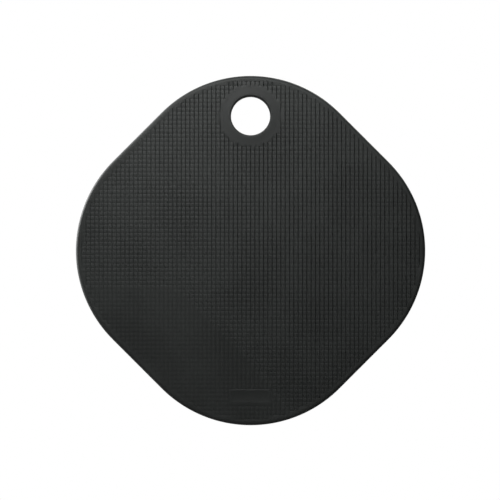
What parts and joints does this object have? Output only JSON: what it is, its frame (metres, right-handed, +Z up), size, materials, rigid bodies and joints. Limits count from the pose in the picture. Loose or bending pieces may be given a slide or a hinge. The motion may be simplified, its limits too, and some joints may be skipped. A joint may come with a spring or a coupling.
{
  "type": "bluetooth tracker tag",
  "caption": "Black rounded-square tracker tag that hangs by one corner from a key ring, with a finely grooved press-in front cover, a sounder, a coin cell and a pull-off back cover.",
  "frame": {"origin": "centre of the key-ring hole, at the middle of the tag's thickness", "axes": "+Z up as the tag hangs, away from the body of the tag; the key-ring hole runs along Y; the grooved front looks along -Y and the back along +Y; +X to the right seen from the front"},
  "size_m": [0.0424, 0.0096, 0.0425],
  "materials": {
    "grooved_plastic": "fine square groove texture, satin",
    "fine_plastic": "fine spark texture, satin",
    "chassis_plastic": "moulded, satin",
    "silicone": "matt silicone",
    "board_laminate": "green solder mask",
    "screw_steel": "zinc plated",
    "cell_steel": "drawn nickel-plated steel",
    "grommet_plastic": "moulded nylon",
    "contact_steel": "rolled spring steel",
    "foam": "open foam",
    "sounder_brass": "rolled brass",
    "ceramic": "silvered ceramic",
    "adhesive": "soft adhesive film",
    "gold_plating": "thin gold plating",
    "chip_resin": "moulded resin",
    "plunger_nylon": "moulded nylon",
    "tinned_steel": "tinned",
    "ferrite": "sintered ferrite",
    "capacitor_ceramic": "fired ceramic"
  },
  "bodies": {
    "chassis": {"chassis": "chassis_plastic", "front_seal": "silicone", "rear_seal": "silicone", "eyelet_seal": "silicone", "circuit_board": "board_laminate", "board_screws": "screw_steel", "cell_can": "cell_steel", "cell_cap": "cell_steel", "cell_grommet": "grommet_plastic", "negative_contact": "contact_steel", "positive_contact": "contact_steel", "piezo_springs": "gold_plating", "switch_base": "chip_resin", "switch_frame": "contact_steel", "switch_dome": "contact_steel", "radio_chip": "chip_resin", "radio_shield": "tinned_steel", "fast_crystal": "tinned_steel", "slow_crystal": "tinned_steel", "driver_coil": "ferrite", "driver_transistor": "chip_resin", "capacitors": "capacitor_ceramic", "resistors": "chip_resin", "antenna_trace": "gold_plating", "test_pads": "gold_plating"},
    "front_panel": {"front_cover": "grooved_plastic", "piezo_plate": "sounder_brass", "piezo_ceramic": "ceramic", "piezo_adhesive": "adhesive"},
    "plunger": {"switch_plunger": "plunger_nylon"},
    "rear_panel": {"back_cover": "fine_plastic", "cell_pad": "foam"}
  },
  "joints": [
    {"name": "front_press", "type": "slide", "parent": "chassis", "child": "front_panel", "axis": [0, 1, 0], "range_m": [0, 0.00025], "stiffness_N_per_m": 4000, "springref_m": -0.00025, "deforming": ["eyelet_seal", "piezo_springs"]},
    {"name": "switch_press", "type": "slide", "parent": "chassis", "child": "plunger", "axis": [0, 1, 0], "range_m": [0, 0.00025], "deforming": ["switch_dome"]},
    {"name": "back_cover_pull", "type": "slide", "parent": "chassis", "child": "rear_panel", "axis": [0, 1, 0], "range_m": [0, 0.015]}
  ],
  "couplings": [
    {"joint": "switch_press", "follows": "front_press", "ratio": 1}
  ]
}
